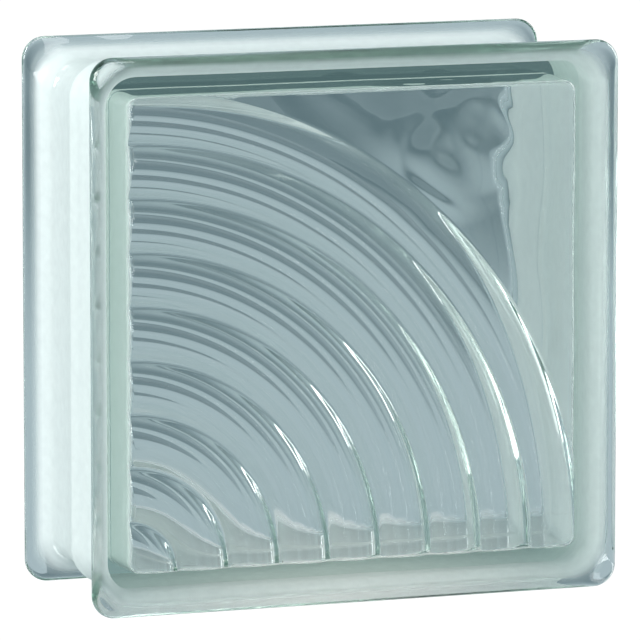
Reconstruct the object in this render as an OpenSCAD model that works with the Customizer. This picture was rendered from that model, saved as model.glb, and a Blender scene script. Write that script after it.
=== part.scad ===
// Hollow glass block for walls: two pressed glass halves, each a shallow square
// dish, fused mouth to mouth. The inner side of both panels is pressed with
// quarter-round flutes about one lower corner. The sides are drawn in between
// the two rims, so that mortar and reinforcing bars have a channel to lie in.
// Frame: X is the width, -Y the front face, +Z up, origin under the middle.

/* [Block] */
// Width and height of the square faces
face_w = 190; // [186:1:196]
// Depth of the block over both faces
block_d = 80; // [78:1:98]
// Corner radius of the faces
corner_r = 8; // [6:0.5:10]
// Rounding between a face and its rim
edge_r = 2.5; // [1:0.5:3]

/* [Sides] */
// How far the sides lie below the rims
channel_depth = 7.5; // [6:0.5:8]
// Radius of the curve that rises from the side to the rim
sweep_r = 12; // [10:0.5:14]
// Thickness of a rim at its edge
rim_t = 3.5; // [3:0.5:5]
// How far the sides rise again to the ridge along the fused seam
seam_rise = 2.6; // [1.5:0.1:3.5]
// Width of the gentle slope on each side of the seam
seam_run = 20; // [14:1:22]
// Corner radius of the block along the seam
seam_corner_r = 13; // [12:0.5:16]

/* [Cavity] */
// Thickness of a panel between its face and its flat inner side
panel_t = 8.5; // [8:0.5:10]
// Width of the cavity at the panels
cavity_w = 162; // [158:1:163]
// Width of the cavity at the seam
mouth_w = 163.2; // [163:0.2:166]
// Corner radius of the cavity at the panels
cavity_corner_r = 4; // [4:0.5:8]
// Rounding between a panel and the side walls
fillet_r = 2; // [1:0.5:4]

/* [Flutes] */
// Number of flutes in a panel
flute_count = 9; // [5:1:9]
// Distance from one flute to the next, along a radius
flute_pitch = 18.3; // [16:0.1:18.3]
// Radius of the first crest about the flutes' centre
first_crest_r = 19.1; // [18.5:0.1:20]
// Depth of a flute
flute_depth = 2.7; // [2:0.1:4]
// How far the crests between flutes lie below the flat of the panel
crest_drop = 0.3; // [0.2:0.1:0.6]

/* [Hidden] */
$fn = 96;
half_d = block_d / 2;
half_w = face_w / 2;
side_w = half_w - channel_depth;
slope_r = (pow(seam_run, 2) + pow(seam_rise, 2)) / (2 * seam_rise);
seam_axis = side_w + seam_rise - seam_corner_r;
sweep_axis = side_w + sweep_r;
sweep_start = half_d - rim_t - sqrt(pow(sweep_r, 2) - pow(sweep_axis - half_w, 2));
beyond = 30;
panel_z = half_d - panel_t;
cavity_axis = cavity_w / 2 - cavity_corner_r;
draft = (mouth_w - cavity_w) / 2 / panel_z;
flute_axis = cavity_w / 2 + 1;
crest_z = panel_z - crest_drop;
flute_rise = flute_depth + crest_drop;
flute_r = (pow(flute_pitch / 2, 2) + pow(flute_rise, 2)) / (2 * flute_rise);
flute_z = panel_z + flute_depth - flute_r;
last_crest_r = first_crest_r + (flute_count - 1) * flute_pitch;

// Points of a circular arc from one angle to another
function arc(x, y, r, from, to, steps = 10) =
    [for (i = [0 : steps]) let (a = from + (to - from) * i / steps) [x + r * cos(a), y + r * sin(a)]];

// A square of full height with rounded corners
module rounded_slab(w, r, h) {
    linear_extrude(h) {
        square([w, w - 2 * r], center = true);
        square([w - 2 * r, w], center = true);
        for (x = [-1, 1], y = [-1, 1]) translate([x * (w / 2 - r), y * (w / 2 - r)]) circle(r);
    }
}

// Carries a section round the block: straight along the four sides, turned at the
// four corners. The section's x runs outwards from the corner axes.
module carry_round(axis) {
    for (turn = [0 : 90 : 270]) rotate(turn) {
        translate([axis, axis, 0]) rotate([90, 0, 0]) linear_extrude(2 * axis) children();
        translate([axis, axis, 0]) rotate_extrude(angle = 90) children();
    }
}

// What the drawn-in side takes away: the slope from the seam, the flat, the sweep to the rim
module channel_section() {
    intersection() {
        translate([side_w + slope_r - seam_axis, seam_run]) circle(slope_r, $fn = 360);
        translate([side_w - seam_axis, 0]) square([beyond, seam_run]);
    }
    translate([side_w - seam_axis, seam_run]) square([beyond, sweep_start - seam_run]);
    intersection() {
        translate([sweep_axis - seam_axis, sweep_start]) circle(sweep_r);
        translate([side_w - seam_axis, sweep_start]) square([2 * sweep_r, sweep_r]);
    }
}

// What the rounding takes off the edge of a face
module edge_section() {
    difference() {
        translate([corner_r - edge_r, half_d - edge_r]) square(beyond);
        translate([corner_r - edge_r, half_d - edge_r]) circle(edge_r);
    }
}

// A hollow with drafted sides, round corners and a filleted end at height top
module hollow(top) {
    wall = cavity_corner_r + draft * panel_z;
    fillet = arc(cavity_corner_r - fillet_r, top - fillet_r, fillet_r, 0, 90);
    side = concat([[0, 0], [wall, 0]], fillet, [[0, top]]);
    carry_round(cavity_axis) polygon(side);
    translate([-cavity_axis, -cavity_axis, 0]) cube([2 * cavity_axis, 2 * cavity_axis, top]);
}

// The section of all flutes along a radius: shallow round troughs side by side
module flute_section() {
    square([last_crest_r, crest_z]);
    for (i = [1 : flute_count]) translate([first_crest_r + (i - 1.5) * flute_pitch, 0]) intersection() {
        translate([0, flute_z]) circle(flute_r);
        translate([-flute_pitch / 2, crest_z - 1]) square([flute_pitch, flute_depth + 2]);
    }
}

// The quarter-round flutes, kept inside the cavity's walls
module flutes() {
    intersection() {
        translate([-flute_axis, -flute_axis, 0]) rotate_extrude(angle = 90) flute_section();
        hollow(panel_z + flute_depth);
    }
}

// One pressed half, lying on its mouth with its face up
module half() {
    difference() {
        rounded_slab(face_w, corner_r, half_d);
        carry_round(half_w - corner_r) edge_section();
        carry_round(seam_axis) channel_section();
        hollow(panel_z);
        flutes();
    }
}

module front_half() {
    color([0.62, 0.74, 0.70]) translate([0, 0, half_w]) rotate([90, 0, 0]) half();
}

module back_half() {
    color([0.56, 0.70, 0.67]) mirror([0, 1, 0]) translate([0, 0, half_w]) rotate([90, 0, 0]) half();
}

front_half();
back_half();
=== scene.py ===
# %% [markdown]
# # A hollow glass block
#
# The block is two pressed dishes of glass, fused mouth to mouth round a sealed, almost
# airless hollow. Everything that makes it look like a glass block happens inside: light is
# bent at the flat face, bent again at the flutes inside, crosses the hollow and meets the
# same two surfaces in the back half. So the piece here is modelled as the real one is, as a
# solid wall of glass with true inner surfaces, and not as a flat pane with a pattern on it.

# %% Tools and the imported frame
import math

import bmesh
import bpy
from mathutils import Matrix, Vector


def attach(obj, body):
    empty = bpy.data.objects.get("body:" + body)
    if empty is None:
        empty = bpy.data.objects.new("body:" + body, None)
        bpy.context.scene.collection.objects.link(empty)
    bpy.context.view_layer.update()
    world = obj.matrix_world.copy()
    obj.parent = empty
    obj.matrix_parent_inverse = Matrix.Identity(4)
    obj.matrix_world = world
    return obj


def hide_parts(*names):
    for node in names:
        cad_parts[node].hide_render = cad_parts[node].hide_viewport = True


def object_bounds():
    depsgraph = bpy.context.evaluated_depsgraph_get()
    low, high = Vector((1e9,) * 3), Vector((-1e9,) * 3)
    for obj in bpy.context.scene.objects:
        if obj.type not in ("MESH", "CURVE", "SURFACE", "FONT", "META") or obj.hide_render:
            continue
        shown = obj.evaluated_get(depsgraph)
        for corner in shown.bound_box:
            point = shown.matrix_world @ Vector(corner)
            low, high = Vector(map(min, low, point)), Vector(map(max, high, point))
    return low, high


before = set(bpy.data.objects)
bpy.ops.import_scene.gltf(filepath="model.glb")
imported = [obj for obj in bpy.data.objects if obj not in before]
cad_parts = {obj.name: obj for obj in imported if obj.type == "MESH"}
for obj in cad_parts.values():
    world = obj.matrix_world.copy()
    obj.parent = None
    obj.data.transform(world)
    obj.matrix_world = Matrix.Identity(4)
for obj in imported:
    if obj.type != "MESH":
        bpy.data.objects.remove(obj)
cad_low, cad_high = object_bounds()

MM = 0.001
HALF_W = (cad_high.x - cad_low.x) / 2 / MM
HALF_D = (cad_high.y - cad_low.y) / 2 / MM
print("block", round(2 * HALF_W), "x", round(2 * HALF_D), "mm, pieces", sorted(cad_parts))

# %% [markdown]
# ## The block's dimensions
#
# Glass blocks are pressed in steel moulds, so a few radii describe them. Most of these
# dimensions are the construction's own. The small ones that it leaves plain are added here:
# the lips of the rims, the crest of the seam, the weld inside it and the flutes' crests. All
# are in millimetres, with the block's centre at zero. X is the width, Y the depth with the
# front face on -Y, and Z the height.

# %% Dimensions of the outside
CHANNEL_DEPTH = 7.5
SIDE_W = HALF_W - CHANNEL_DEPTH
SEAM_RISE = 2.6
SEAM_RUN = 20.0
SEAM_CREST_R = 1.0
SEAM_CORNER_R = 13.0
SWEEP_R = 12.0
RIM_T = 3.5
LIP_R = 0.8
EDGE_R = 2.5
FACE_CORNER_R = 8.0
CHANNEL_AXIS = SIDE_W + SEAM_RISE - SEAM_CORNER_R
RIM_AXIS = HALF_W - FACE_CORNER_R
print("sides lie", CHANNEL_DEPTH, "mm below the rims, the seam", SEAM_RISE, "mm above the sides")

# %% Dimensions of the hollow and its flutes
PANEL_T = 8.5
PANEL_Y = HALF_D - PANEL_T
WALL_W = 81.0
MOUTH_W = 81.6
WALL_CORNER_R = 4.0
WALL_AXIS = WALL_W - WALL_CORNER_R
FILLET_R = 2.0
WELD_BULGE = 0.7
WELD_HALF_WIDTH = 1.6
FLUTE_AXIS = 82.0
FLUTE_PITCH = 18.3
FLUTE_COUNT = 9
FIRST_CREST_R = 19.1
FLUTE_DEPTH = 2.7
CREST_DROP = 0.3
CREST_R = 0.7
print("panels", PANEL_T, "mm thick,", FLUTE_COUNT, "flutes of", FLUTE_PITCH, "mm")

# %% [markdown]
# ## A shell from a stack of outlines
#
# The outside and the hollow are both squares with round corners whose size changes with
# depth. Starting from one flat outline, its face is extruded again and again, and after
# each step the new points are laid on the outline for that depth. This keeps the rows of
# points exactly along the sweeps, so reflections run cleanly along the rims.

# %% Points of a square outline with round corners
CORNER_STEPS = 10
SIDE_STEPS = 24


def outline_point(i, half_width, axis, side_steps=SIDE_STEPS):
    """Point i of an outline whose corners turn about (axis, axis), counted round its middle."""
    quarter, step = divmod(i, CORNER_STEPS + side_steps)
    turn = math.pi / 2 * min(step, CORNER_STEPS) / CORNER_STEPS
    slide = max(step - CORNER_STEPS, 0) / side_steps
    radius = half_width - axis
    x = axis * (1 - 2 * slide) + radius * math.cos(turn)
    z = axis + radius * math.sin(turn)
    for _ in range(quarter):
        x, z = -z, x
    return x, z


def arc(centre, radius, start, end, steps):
    """Points of an arc, angles in degrees."""
    turns = [math.radians(start + (end - start) * i / steps) for i in range(steps + 1)]
    return [(centre[0] + radius * math.cos(t), centre[1] + radius * math.sin(t)) for t in turns]


def stacked_shell(levels, place, side_steps=SIDE_STEPS):
    """A closed shell. place(i, level) gives point i of the outline at a level.

    An extruded face leaves its old self behind. The first of them closes the shell, and the
    others would be walls inside it, so they are deleted.
    """
    bm = bmesh.new()
    number = bm.verts.layers.int.new("number")
    count = 4 * (CORNER_STEPS + side_steps)
    ring = bmesh.ops.create_circle(bm, cap_ends=True, segments=count, radius=1.0)
    for i, vert in enumerate(ring["verts"]):
        vert[number] = i
        vert.co = place(i, levels[0])
    cap = bm.faces[:]
    for level in levels[1:]:
        made = bmesh.ops.extrude_face_region(bm, geom=cap)["geom"]
        if level is not levels[1]:
            bmesh.ops.delete(bm, geom=cap, context="FACES_ONLY")
        cap = [item for item in made if isinstance(item, bmesh.types.BMFace)]
        for vert in (item for item in made if isinstance(item, bmesh.types.BMVert)):
            vert.co = place(vert[number], level)
    bmesh.ops.recalc_face_normals(bm, faces=bm.faces)
    return bm


# %% [markdown]
# ## The outside
#
# From the fused seam the side falls gently, runs level, and sweeps up to a thin rim. Its
# profile is written once, from the seam to the front face, as pairs of half-width and
# depth, and mirrored for the back half.

# %% The profile of one half's side
SWEEP_X = SIDE_W + SWEEP_R
SWEEP_Y = HALF_D - RIM_T - math.sqrt(SWEEP_R**2 - (SWEEP_X - HALF_W) ** 2)
SLOPE_DEPTHS = (0, 0.4, 0.9, 1.6, 3, 5, 8, 11, 14, 17, SEAM_RUN)
FACE_INSETS = (0.6, 2.0)


def seam_slope(depth):
    """Half-width of the block near the seam: a low ridge with a softened crest."""
    away = math.hypot(depth, SEAM_CREST_R) - SEAM_CREST_R
    return SIDE_W + SEAM_RISE * max(1 - away / SEAM_RUN, 0) ** 2


def outside_profile():
    """(half-width, depth) from the seam to the middle of the face."""
    slope = [(seam_slope(y), y) for y in SLOPE_DEPTHS]
    lip_x = HALF_W - LIP_R
    reach = SWEEP_R + LIP_R
    lip_y = SWEEP_Y + math.sqrt(reach**2 - (SWEEP_X - lip_x) ** 2)
    meet = math.degrees(math.acos((SWEEP_X - lip_x) / reach))
    sweep = arc((SWEEP_X, SWEEP_Y), SWEEP_R, 180, 180 - meet, steps=9)
    lip = arc((lip_x, lip_y), LIP_R, -meet, 0, steps=4)
    edge = arc((HALF_W - EDGE_R, HALF_D - EDGE_R), EDGE_R, 0, 90, steps=7)
    face = [(HALF_W - EDGE_R - inset, HALF_D) for inset in FACE_INSETS]
    return slope + sweep + lip + edge + face


def corner_axis(half_width):
    """The corners turn about a point that moves out as the side sweeps up to the rim."""
    share = min(max((half_width - SIDE_W - SEAM_RISE) / (HALF_W - SIDE_W - SEAM_RISE), 0), 1)
    return CHANNEL_AXIS + (RIM_AXIS - CHANNEL_AXIS) * share


profile = outside_profile()
print("side profile of", len(profile), "points")

# %% Extrude the outside
MIN_CORNER_R = 0.5
levels = [(w, -y) for w, y in reversed(profile[1:])] + profile


def outside_place(i, level):
    """A point on the outside."""
    half_width, depth = level
    axis = RIM_AXIS if abs(depth) > HALF_D - EDGE_R else corner_axis(half_width)
    x, z = outline_point(i, half_width, min(axis, half_width - MIN_CORNER_R))
    return Vector((x, depth, z))


outside = stacked_shell(levels, outside_place)
print("outside", len(outside.faces), "faces")

# %% [markdown]
# ## The flutes
#
# Both panels are pressed on the inside with nine quarter-round flutes about one lower
# corner, like ripples from a dropped stone. A turned shape is best spun: a chain of points
# along one radius has the section of all the flutes, and spinning it about the corner
# draws every ripple at once. The points crowd together at the crests, where the glass
# turns sharply and every facet would show in what it bends. The spin runs on a little past
# both walls of the quarter, because the walls are cut later.

# %% The section of the flutes
FLUTE_RISE = FLUTE_DEPTH + CREST_DROP
FLUTE_R = ((FLUTE_PITCH / 2) ** 2 + FLUTE_RISE**2) / (2 * FLUTE_RISE)
CREST_SHIFT = FIRST_CREST_R - FLUTE_PITCH
FLUTED_R = CREST_SHIFT + FLUTE_COUNT * FLUTE_PITCH
FLUTE_STEPS = 18
CROWDING = 0.75
REACH = 238.0
FIRST_R = 2.0
SOFTENING = 0.15
PLAIN_STEPS = 18
PLAIN_CROWDING = 1.3


def mould_depth(radius):
    """How deep the pressing tool reaches at a distance from the flutes' centre.

    Every flute is a shallow round trough. Softening the gap to the nearest crest rounds that
    crest and leaves the middle of the trough as it is.
    """
    if radius >= FLUTED_R:
        return PANEL_Y
    middle = FLUTE_PITCH / 2
    gap = middle - abs((radius - CREST_SHIFT) % FLUTE_PITCH - middle)
    soft_gap = math.hypot(gap, CREST_R) - CREST_R
    across = middle * (1 - soft_gap / (math.hypot(middle, CREST_R) - CREST_R))
    return PANEL_Y + FLUTE_DEPTH - FLUTE_R + math.sqrt(FLUTE_R**2 - across**2)


def crowded(t):
    """Moves even steps from 0 to 1 towards both ends."""
    return t - CROWDING * math.sin(2 * math.pi * t) / (2 * math.pi)


radii = [
    CREST_SHIFT + FLUTE_PITCH * (n + crowded(s / FLUTE_STEPS))
    for n in range(FLUTE_COUNT)
    for s in range(FLUTE_STEPS)
]
radii = [r for r in radii if r > FIRST_R] + [FLUTED_R - SOFTENING]
radii += [
    FLUTED_R + SOFTENING + (REACH - FLUTED_R) * (s / PLAIN_STEPS) ** PLAIN_CROWDING
    for s in range(PLAIN_STEPS + 1)
]
print("section of the flutes:", len(radii), "points")

# %% Spin the section and close it to a body
SPIN_STEPS = 150
OVERRUN = math.radians(4)
SWELL_HEIGHT = 0.55
SWELL_TURN = (0.10, 0.085)
SWELL_START = 0.96
SWELL_RUN = 12.0


def plain_swell(x, z):
    """The plain corner isn't quite flat: pressed glass has a slow swell."""
    return SWELL_HEIGHT * math.sin(SWELL_TURN[0] * x + SWELL_TURN[1] * z + SWELL_START)


def surface_depth(x, z):
    """Depth of the pressed panel over a place in the hollow."""
    radius = math.hypot(x + FLUTE_AXIS, z + FLUTE_AXIS)
    share = min(max((radius - FLUTED_R) / SWELL_RUN, 0), 1)
    return mould_depth(radius) + plain_swell(x, z) * share


def fluted_body():
    """The space between both panels, as if the block had no side walls."""
    bm = bmesh.new()
    last = None
    for radius in radii:
        vert = bm.verts.new((radius - FLUTE_AXIS, mould_depth(radius), -FLUTE_AXIS))
        if last:
            bm.edges.new((last, vert))
        last = vert
    centre = (-FLUTE_AXIS, 0, -FLUTE_AXIS)
    start = Matrix.Rotation(OVERRUN, 3, "Y")
    bmesh.ops.rotate(bm, verts=bm.verts, cent=centre, matrix=start)
    bmesh.ops.spin(
        bm, geom=bm.verts[:] + bm.edges[:], cent=centre, axis=(0, 1, 0),
        angle=-(math.pi / 2 + 2 * OVERRUN), steps=SPIN_STEPS,
    )
    for vert in bm.verts:
        vert.co.y = surface_depth(vert.co.x, vert.co.z)
    made = bmesh.ops.extrude_face_region(bm, geom=bm.faces[:])["geom"]
    verts = [item for item in made if isinstance(item, bmesh.types.BMVert)]
    bmesh.ops.scale(bm, verts=verts, vec=(1, -1, 1))
    bmesh.ops.recalc_face_normals(bm, faces=bm.faces)
    return bm


mould = fluted_body()
print("fluted body", len(mould.faces), "faces")

# %% [markdown]
# ## The hollow
#
# The side walls of the hollow lean a little, so that the pressing tool comes out again, and
# meet the panels in a small fillet. The fillet rises and falls with the flutes, so every
# column of the wall is stretched to the pressed surface beside it. A small bulge inside the
# seam is glass that was squeezed in when the halves were melted together. The box runs on
# past the panels, because the next step cuts it there.

# %% The drafted box
CHIMNEY = 8.0
WALL_STEPS = 96
WELD_REACH = 4.0
OVERLAP = 0.1
WALL_DEPTHS = (0, 0.4, 0.8, 1.3, 2, 3, WELD_REACH, 9, 15, 21, PANEL_Y - FILLET_R)
FILLET_TURNS = [math.radians(turn) for turn in range(10, 91, 10)]


def wall_width(depth):
    """Half-width of the hollow."""
    lean = (MOUTH_W - WALL_W) / PANEL_Y
    return MOUTH_W - lean * depth - WELD_BULGE * math.exp(-((depth / WELD_HALF_WIDTH) ** 2))


def fillet_start(i):
    """Depth where the wall turns into the fillet, so that it ends at the pressed surface."""
    inner = WALL_W - FILLET_R
    beside = outline_point(i, inner, inner - MIN_CORNER_R, WALL_STEPS)
    return surface_depth(*beside) + OVERLAP - FILLET_R


def hollow_place(i, level):
    """A point on the drafted box. A level is its kind, a depth or a turn, and the half's sign."""
    kind, value, side = level
    start = fillet_start(i)
    if kind == "wall":
        depth = value
        if value > WELD_REACH:
            room = PANEL_Y - FILLET_R - WELD_REACH
            depth = WELD_REACH + (start - WELD_REACH) * (value - WELD_REACH) / room
        width = wall_width(depth)
    elif kind == "fillet":
        depth = start + FILLET_R * math.sin(value)
        width = wall_width(start) - FILLET_R * (1 - math.cos(value))
    else:
        depth = HALF_D + CHIMNEY
        width = wall_width(start) - FILLET_R
    x, z = outline_point(i, width, min(WALL_AXIS, width - MIN_CORNER_R), WALL_STEPS)
    return Vector((x, depth * side, z))


half = [("wall", depth, 1) for depth in WALL_DEPTHS]
half += [("fillet", turn, 1) for turn in FILLET_TURNS] + [("chimney", 0, 1)]
levels = [(kind, value, -1) for kind, value, _ in reversed(half[1:])] + half
box = stacked_shell(levels, hollow_place, WALL_STEPS)
print("drafted box", len(box.faces), "faces")

# %% [markdown]
# ## Where the walls meet the flutes
#
# The hollow is what the drafted box and the fluted body have in common. Every flute crosses
# a wall at its own angle, and working out those crossings by hand would be tedious, so a
# Boolean modifier finds them. The exact solver copes with the shallow angles at the crests.

# %% Keep what the two have in common


def as_object(bm, name):
    """A bmesh as an object in the scene. The bmesh is used up."""
    mesh = bpy.data.meshes.new(name)
    bm.to_mesh(mesh)
    bm.free()
    made = bpy.data.objects.new(name, mesh)
    bpy.context.scene.collection.objects.link(made)
    return made


def in_common(body, other):
    """The mesh that two closed bodies share. Both bodies are used up."""
    meet = body.modifiers.new("meet", "BOOLEAN")
    meet.operation = "INTERSECT"
    meet.solver = "EXACT"
    meet.object = other
    graph = bpy.context.evaluated_depsgraph_get()
    mesh = bpy.data.meshes.new_from_object(body.evaluated_get(graph))
    for used in (body, other):
        bpy.data.objects.remove(used)
    return mesh


hollow = in_common(as_object(box, "hollow_box"), as_object(mould, "hollow_flutes"))
print("hollow", len(hollow.polygons), "faces")

# %% [markdown]
# ## One wall of glass
#
# The real halves are fused, so light crosses the seam without meeting a surface. Two pieces
# that only touch would each have a face there, so the glass is one piece: the outside, joined
# with the hollow's shell turned inside out. Its faces then look into the hollow, out of the
# glass, and the renderer knows which side is glass. The milky coat is painted on the outside
# as an attribute that is 1 on the sides and 0 on the clear rims.

# %% Join both shells and paint where the sides are coated
COAT_END = 35.2
COAT_FADE = 2.0
SAME_POINT = 0.001
MM3_IN_CM3 = 1000


def coat_at(co):
    """Share of the milky coat on a point of the outside: the sides between the rims."""
    return min(max((COAT_END - abs(co.y)) / COAT_FADE, 0), 1)


def glass_wall(outer, inner):
    """The glass itself, in metres, standing on its lower rims."""
    coat = outer.verts.layers.float.new("coat")
    for vert in outer.verts:
        vert[coat] = coat_at(vert.co)
    shell = bmesh.new()
    shell.from_mesh(inner)
    bmesh.ops.remove_doubles(shell, verts=shell.verts, dist=SAME_POINT)
    bmesh.ops.recalc_face_normals(shell, faces=shell.faces)
    bmesh.ops.reverse_faces(shell, faces=shell.faces)
    shell.to_mesh(inner)
    print("hollow holds", round(-shell.calc_volume(signed=True) / MM3_IN_CM3), "cm3")
    shell.free()
    outer.from_mesh(inner)
    bmesh.ops.scale(outer, verts=outer.verts, vec=(MM, MM, MM))
    bmesh.ops.translate(outer, verts=outer.verts, vec=(0, 0, HALF_W * MM))
    for face in outer.faces:
        face.smooth = True
    return outer


glass_body = as_object(glass_wall(outside, hollow), "glass_body")
print("glass wall", len(glass_body.data.polygons), "faces")

# %% [markdown]
# ## Normals from the formula
#
# Glass magnifies every facet of the surface behind it. The flutes come from a formula, so
# their slope is known everywhere, and the panels' inner sides are given that slope as custom
# normals. The streaks of light then run smoothly without millions of faces. The rest keeps
# ordinary smooth normals, with an edge wherever it turns by more than SHARP_ANGLE.

# %% Give the fluted panels their own normals
SHARP_ANGLE = math.radians(33)
SLOPE_STEP = 0.01
ON_PANEL = 0.03


def true_normal(co):
    """The panel's own normal at a point, or None where the point isn't on a panel."""
    x, y, z = co.x / MM, co.y / MM, co.z / MM - HALF_W
    if abs(abs(y) - surface_depth(x, z)) > ON_PANEL:
        return None
    rise_x = surface_depth(x + SLOPE_STEP, z) - surface_depth(x - SLOPE_STEP, z)
    rise_z = surface_depth(x, z + SLOPE_STEP) - surface_depth(x, z - SLOPE_STEP)
    run = 2 * SLOPE_STEP
    return Vector((rise_x / run, -math.copysign(1, y), rise_z / run)).normalized()


def set_true_normals(mesh):
    """Custom normals for the panels. A zero vector leaves a corner its smooth normal."""
    known = [true_normal(vert.co) for vert in mesh.vertices]
    normals = [Vector()] * len(mesh.loops)
    for face in mesh.polygons:
        own = [known[v] for v in face.vertices]
        if None in own:
            continue
        for loop, normal in zip(face.loop_indices, own):
            normals[loop] = normal
    mesh.normals_split_custom_set(normals)
    print("true normals on", sum(n.length > 0 for n in normals), "of", len(normals), "corners")


glass_body.data.set_sharp_from_angle(angle=SHARP_ANGLE)
set_true_normals(glass_body.data)
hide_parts("front_half", "back_half")
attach(glass_body, "root")

# %% [markdown]
# ## Shader maths
#
# A small wrapper lets node graphs be written as sums. An operator adds a Math node, and
# `add` makes any other node.

# %% The wrapper


class Wire:
    """An output socket in a node tree, with arithmetic."""

    def __init__(self, tree, socket=None):
        self.tree = tree
        self.socket = socket

    def add(self, kind, inputs=None, output=0, **settings):
        """A node of that kind: first its settings, then its inputs by name or number."""
        node = self.tree.nodes.new(kind)
        for name, value in settings.items():
            setattr(node, name, value)
        for name, value in (inputs or {}).items():
            if isinstance(value, Wire):
                self.tree.links.new(value.socket, node.inputs[name])
            else:
                node.inputs[name].default_value = value
        return Wire(self.tree, node.outputs[output] if node.outputs else None)

    def maths(self, operation, a, b):
        """One Math node."""
        return self.add("ShaderNodeMath", {0: a, 1: b}, operation=operation)

    def __add__(self, other):
        return self.maths("ADD", self, other)

    def __mul__(self, other):
        return self.maths("MULTIPLY", self, other)

    def __gt__(self, other):
        return self.maths("GREATER_THAN", self, other)

    __radd__ = __add__
    __rmul__ = __mul__


# %% Empty trees, and soft round patches


def new_tree(owner):
    """An empty node tree on a material or world."""
    owner.use_nodes = True
    owner.node_tree.nodes.clear()
    return Wire(owner.node_tree)


def falloff(nodes, place, centre, reach, start=0.0):
    """1 up to a start distance from a centre, easing to 0 at its reach."""
    away = nodes.add(
        "ShaderNodeVectorMath", {0: place, 1: centre}, "Value", operation="DISTANCE"
    )
    return nodes.add(
        "ShaderNodeMapRange",
        {"Value": away, "From Min": start, "From Max": reach, "To Min": 1.0, "To Max": 0.0},
        interpolation_type="SMOOTHSTEP",
    )


# %% [markdown]
# ## The surface of pressed glass
#
# Pressed glass is never quite flat. A faint swell bends reflections all over it, and where
# hot glass first touched the cooler mould it keeps chill marks, here on the inner side of the
# front panel, in the plain corner. Both are too shallow to show in the outline, so they are
# heights for one Bump node, and the marks fade out round their place.

# %% Swell and chill marks
CHILL_PLACE = (0.034, -0.030, 0.160)
CHILL_CORE = 0.008
CHILL_REACH = 0.034
CHILL_STRENGTH = 6.5
OUTER_SKIN = -0.037


def pressed_surface(nodes, place):
    """A Bump node with the glass's swell and its chill marks."""
    swell = nodes.add("ShaderNodeTexNoise", {"Vector": place, "Scale": 22.0, "Detail": 1.0})
    chill = nodes.add(
        "ShaderNodeTexNoise",
        {"Vector": place, "Scale": 38.0, "Detail": 0.0, "Distortion": 1.6},
    )
    marked = falloff(nodes, place, CHILL_PLACE, CHILL_REACH, CHILL_CORE)
    inside = nodes.add("ShaderNodeSeparateXYZ", {"Vector": place}, "Y") > OUTER_SKIN
    height = swell + chill * marked * inside * CHILL_STRENGTH
    return nodes.add("ShaderNodeBump", {"Height": height, "Strength": 0.15, "Distance": 0.004})


# %% [markdown]
# ## The milky coat
#
# The sides carry a sprayed film that helps mortar to grip. It is milky, so it throws part of
# the light back and lets part glow through to the inside: a rough white surface mixed with a
# translucent one. A fine grain varies how rough it is and how well it covers.

# %% The coat's shader
MILK = (0.88, 0.93, 0.915, 1.0)
GLOW = (0.88, 0.93, 0.90, 1.0)
GLOW_SHARE = 0.45
MILK_ROUGHNESS = 0.35
GRAIN_ROUGHNESS = 0.2


def milky_film(nodes, grain):
    """The sprayed film on its own."""
    roughness = grain * GRAIN_ROUGHNESS + MILK_ROUGHNESS
    milk = nodes.add(
        "ShaderNodeBsdfPrincipled", {"Base Color": MILK, "Roughness": roughness, "IOR": 1.45}
    )
    glow = nodes.add("ShaderNodeBsdfTranslucent", {"Color": GLOW})
    return nodes.add("ShaderNodeMixShader", {0: GLOW_SHARE, 1: milk, 2: glow})


# %% [markdown]
# ## Glass and coat together
#
# The glass is clear soda-lime with a green cast that only shows where light runs a long way
# through it, so the colour belongs in the volume and not on the surface. Clear and coated
# sides are one material, mixed by the painted attribute, because they share that volume.

# %% The glass material
WHITE = (1.0, 1.0, 1.0, 1.0)
GLASS_IOR = 1.52
GREEN_CAST = (0.575, 0.71, 0.65, 1.0)
CAST_DENSITY = 20.0
THINNEST_COVER = 0.8
GRAIN_COVER = 0.15


def pressed_glass():
    """Clear green-tinted glass, milky on the coated sides."""
    material = bpy.data.materials.new("clear_glass_milky_edge")
    nodes = new_tree(material)
    place = nodes.add("ShaderNodeTexCoord", output="Object")
    clear = nodes.add(
        "ShaderNodeBsdfPrincipled",
        {
            "Base Color": WHITE,
            "Roughness": 0.0,
            "IOR": GLASS_IOR,
            "Transmission Weight": 1.0,
            "Normal": pressed_surface(nodes, place),
        },
    )
    grain = nodes.add("ShaderNodeTexNoise", {"Vector": place, "Scale": 300.0, "Detail": 3.0})
    coat = nodes.add("ShaderNodeAttribute", output="Fac", attribute_name="coat")
    cover = coat * (grain * GRAIN_COVER + THINNEST_COVER)
    surface = nodes.add(
        "ShaderNodeMixShader", {0: cover, 1: clear, 2: milky_film(nodes, grain)}
    )
    cast = nodes.add(
        "ShaderNodeVolumeAbsorption", {"Color": GREEN_CAST, "Density": CAST_DENSITY}
    )
    nodes.add("ShaderNodeOutputMaterial", {"Surface": surface, "Volume": cast})
    return material


glass_body.data.materials.append(pressed_glass())
print("material", glass_body.data.materials[0].name)

# %% [markdown]
# ## Floor and surroundings
#
# Clear glass shows its surroundings more than itself. The floor and the surroundings are
# plain and pale where they are seen directly. Seen through the block they are greyer, with
# darker zones beyond the block and on the front side, as in a studio that is only lit round
# its table, so that the flutes have something to draw with. On the floor, which glows, the
# darker zones are painted shade, and the white round the block's foot is a painted pool of light.

# %% Two shades for what the glass shows
LIGHT = (0.39, 0.495, 0.535, 1.0)
DARK = (0.10, 0.16, 0.185, 1.0)
DIRECT_STRENGTH = 1.05
MIX_A, MIX_B, MIX_RESULT = 6, 7, 2


def blend(nodes, share, start, end):
    """From one colour to another. The Mix node's colour sockets are known by number."""
    inputs = {0: share, MIX_A: start, MIX_B: end}
    return nodes.add("ShaderNodeMix", inputs, MIX_RESULT, data_type="RGBA")


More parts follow.
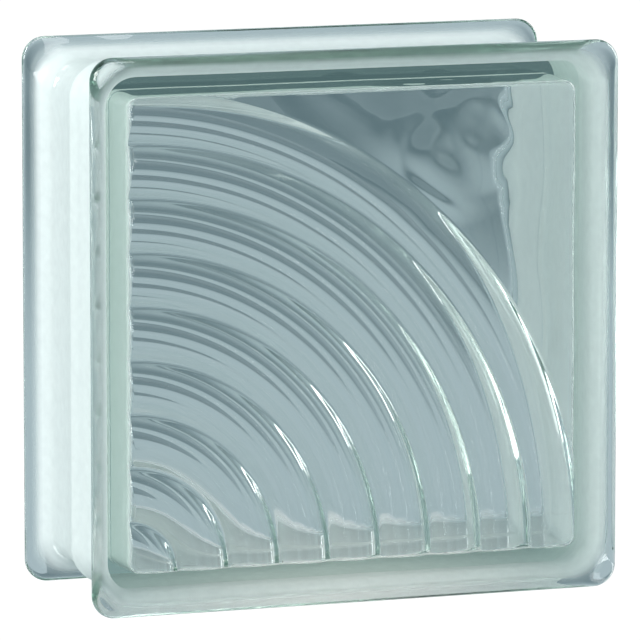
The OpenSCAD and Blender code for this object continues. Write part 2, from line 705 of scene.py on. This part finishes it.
def seen_white(nodes, kind, shade):
    """White when seen directly, and the given shade when seen through the block."""
    direct = nodes.add("ShaderNodeLightPath", output="Is Camera Ray")
    white = nodes.add(kind, {"Color": WHITE, "Strength": DIRECT_STRENGTH})
    through = nodes.add(kind, {"Color": shade, "Strength": 1.0})
    return nodes.add("ShaderNodeMixShader", {0: direct, 1: through, 2: white})


# %% Floor
FLOOR_HALF_WIDTH = 1.5
# Where the floor's painted shade zones and its painted pool of light at the block's foot lie, in
# metres.
SHADE_BEYOND, SHADE_BEYOND_REACH = (0.45, 1.3, 0.0), 1.0
SHADE_IN_FRONT, SHADE_IN_FRONT_REACH, SHADE_IN_FRONT_SHARE = (-0.35, -1.0, 0.0), 0.9, 0.9
LIT_FOOT, LIT_FOOT_REACH = (0.0, -0.02, 0.0), 0.12


def floor_painted_light_and_shade():
    """Painted shade in two darker zones on the floor, and a painted pool of light, white close to
    the block's foot.
    """
    material = bpy.data.materials.new("floor_painted_light_and_shade")
    nodes = new_tree(material)
    place = nodes.add("ShaderNodeTexCoord", output="Object")
    # Painted shade beyond and in front of the block, and a painted pool of light at its foot, seen
    # only through the glass.
    beyond = falloff(nodes, place, SHADE_BEYOND, SHADE_BEYOND_REACH)
    in_front = falloff(nodes, place, SHADE_IN_FRONT, SHADE_IN_FRONT_REACH)
    shade = blend(nodes, beyond + in_front * SHADE_IN_FRONT_SHARE, LIGHT, DARK)
    shade = blend(nodes, falloff(nodes, place, LIT_FOOT, LIT_FOOT_REACH), shade, WHITE)
    surface = seen_white(nodes, "ShaderNodeEmission", shade)
    nodes.add("ShaderNodeOutputMaterial", {"Surface": surface})
    return material


bm = bmesh.new()
bmesh.ops.create_grid(bm, x_segments=2, y_segments=2, size=FLOOR_HALF_WIDTH)
floor = as_object(bm, "floor")
floor.data.materials.append(floor_painted_light_and_shade())
print("floor", 2 * FLOOR_HALF_WIDTH, "m wide")

# %% Surroundings
AHEAD, AHEAD_REACH, AHEAD_SHARE = (0.34, 0.93, 0.06), 0.7, 0.85
BEHIND, BEHIND_REACH, BEHIND_SHARE = (-0.3, -0.93, 0.2), 1.3, 0.9

world = bpy.data.worlds.new("studio")
bpy.context.scene.world = world
nodes = new_tree(world)
way = nodes.add("ShaderNodeTexCoord", output="Generated")
ahead = falloff(nodes, way, AHEAD, AHEAD_REACH) * AHEAD_SHARE
behind = falloff(nodes, way, BEHIND, BEHIND_REACH) * BEHIND_SHARE
shade = blend(nodes, ahead + behind, LIGHT, DARK)
nodes.add("ShaderNodeOutputWorld", {"Surface": seen_white(nodes, "ShaderNodeBackground", shade)})
print("darker zones ahead and behind, reaching", AHEAD_REACH, "and", BEHIND_REACH)

# %% [markdown]
# ## Lights
#
# Three soft square lights, because small ones would burn hard spots into the rims. The
# strongest stands at the front left and fills the milky side. A weak one above the front
# brightens the upper rims, and one at the right draws the white streaks along the flutes.

# %% Soft lights that face the block
CENTRE = Vector((0, 0, HALF_W * MM))
SOFT_LIGHT_WIDTH = 1.2
SOFT_LIGHTS = {
    "key_left": ((-1.7, -0.9, 0.8), 60),
    "top": ((0.0, -1.4, 1.7), 17),
    "right": ((1.8, 0.25, 0.8), 22),
}


def soft_light(name, place, power):
    """A square area light that faces the block."""
    data = bpy.data.lights.new(name, "AREA")
    data.size = SOFT_LIGHT_WIDTH
    data.energy = power
    light = bpy.data.objects.new(name, data)
    light.location = place
    light.rotation_euler = (CENTRE - light.location).to_track_quat("-Z", "Y").to_euler()
    bpy.context.scene.collection.objects.link(light)


for name, (place, power) in SOFT_LIGHTS.items():
    soft_light(name, place, power)
print("lights", ", ".join(SOFT_LIGHTS))

# %% [markdown]
# ## Camera
#
# A long lens more than two metres away keeps the block's edges nearly parallel. It looks
# from the left and a little from above, at the block's middle.

# %% Camera
AZIMUTH = math.radians(-19.94)
ELEVATION = math.radians(8.25)
DISTANCE = 2.386
SENSOR_WIDTH = 36.0
FOCAL_LENGTH = 389.4
SHIFT = (0.001, -0.0125)

camera_data = bpy.data.cameras.new("camera")
camera_data.sensor_width = SENSOR_WIDTH
camera_data.lens = FOCAL_LENGTH
camera_data.shift_x, camera_data.shift_y = SHIFT
camera = bpy.data.objects.new("camera", camera_data)
flat = DISTANCE * math.cos(ELEVATION)
back = Vector((math.sin(AZIMUTH) * flat, -math.cos(AZIMUTH) * flat, DISTANCE * math.sin(ELEVATION)))
camera.location = CENTRE + back
camera.rotation_euler = (-back).to_track_quat("-Z", "Y").to_euler()
bpy.context.scene.collection.objects.link(camera)
bpy.context.scene.camera = camera
print("camera", round(back.length, 3), "m from the block's middle")

# %% [markdown]
# ## Picture settings
#
# A ray that crosses the block passes at least four glass surfaces and may be thrown back at
# each of them, so it needs many more bounces than usual before it reaches the surroundings.

# %% Bounces and colour
GLASS_BOUNCES = 32

scene = bpy.context.scene
scene.view_settings.view_transform = "Standard"
scene.cycles.max_bounces = GLASS_BOUNCES
scene.cycles.transmission_bounces = GLASS_BOUNCES
scene.cycles.transparent_max_bounces = 16
scene.cycles.glossy_bounces = 12
print("rays bounce up to", GLASS_BOUNCES, "times")
